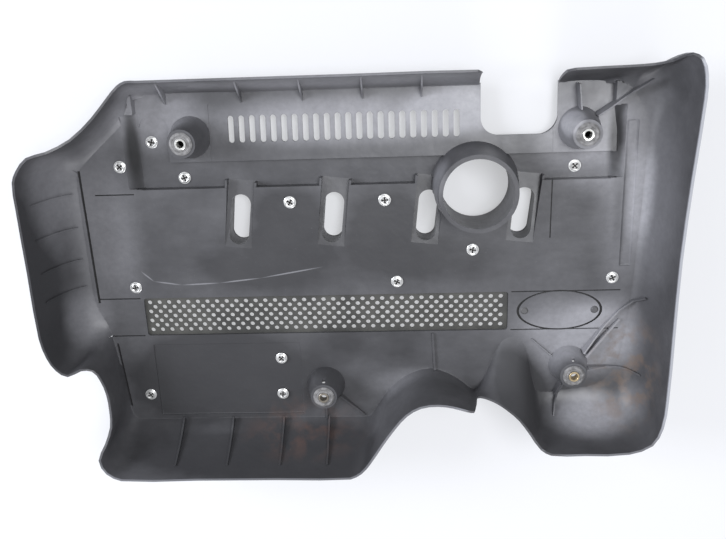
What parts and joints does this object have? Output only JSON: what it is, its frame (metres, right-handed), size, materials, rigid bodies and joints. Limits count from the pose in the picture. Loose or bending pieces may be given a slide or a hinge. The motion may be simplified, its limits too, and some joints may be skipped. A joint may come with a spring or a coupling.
{
  "type": "engine cover",
  "caption": "Moulded plastic engine cover, engine side up, with flared skirts, louvres, oblong slots, a filler collar, a grille strip and rubber-mounted bosses.",
  "frame": {"origin": "centre of the bounding box, at the outer trim face that the cover lies on", "axes": "+X along the engine, towards the filler collar; +Y towards the flanged edge with the cut-out; +Z from the outer face towards the engine"},
  "size_m": [0.5885, 0.392, 0.0952],
  "materials": {
    "shell_plastic": "moulded satin",
    "trim_plastic": "fine texture",
    "mesh_plastic": "moulded satin",
    "plate_plastic": "moulded satin",
    "grommet_rubber": "matt",
    "sleeve_steel": "zinc plated",
    "sleeve_brass": "tarnished",
    "screw_steel": "zinc plated"
  },
  "bodies": {
    "root": {"cover_shell": "shell_plastic", "upper_trim_panel": "trim_plastic", "lower_trim_panel": "trim_plastic", "mesh_grille": "mesh_plastic", "oval_plate": "plate_plastic", "grommet_1": "grommet_rubber", "grommet_2": "grommet_rubber", "grommet_3": "grommet_rubber", "grommet_4": "grommet_rubber", "sleeve_1": "sleeve_steel", "sleeve_2": "sleeve_steel", "sleeve_3": "sleeve_steel", "sleeve_4": "sleeve_brass", "screw_1": "screw_steel", "screw_2": "screw_steel", "screw_3": "screw_steel", "screw_4": "screw_steel", "screw_5": "screw_steel", "screw_6": "screw_steel", "screw_7": "screw_steel", "screw_8": "screw_steel", "screw_9": "screw_steel", "screw_10": "screw_steel", "screw_11": "screw_steel", "screw_12": "screw_steel", "screw_13": "screw_steel"}
  },
  "joints": []
}
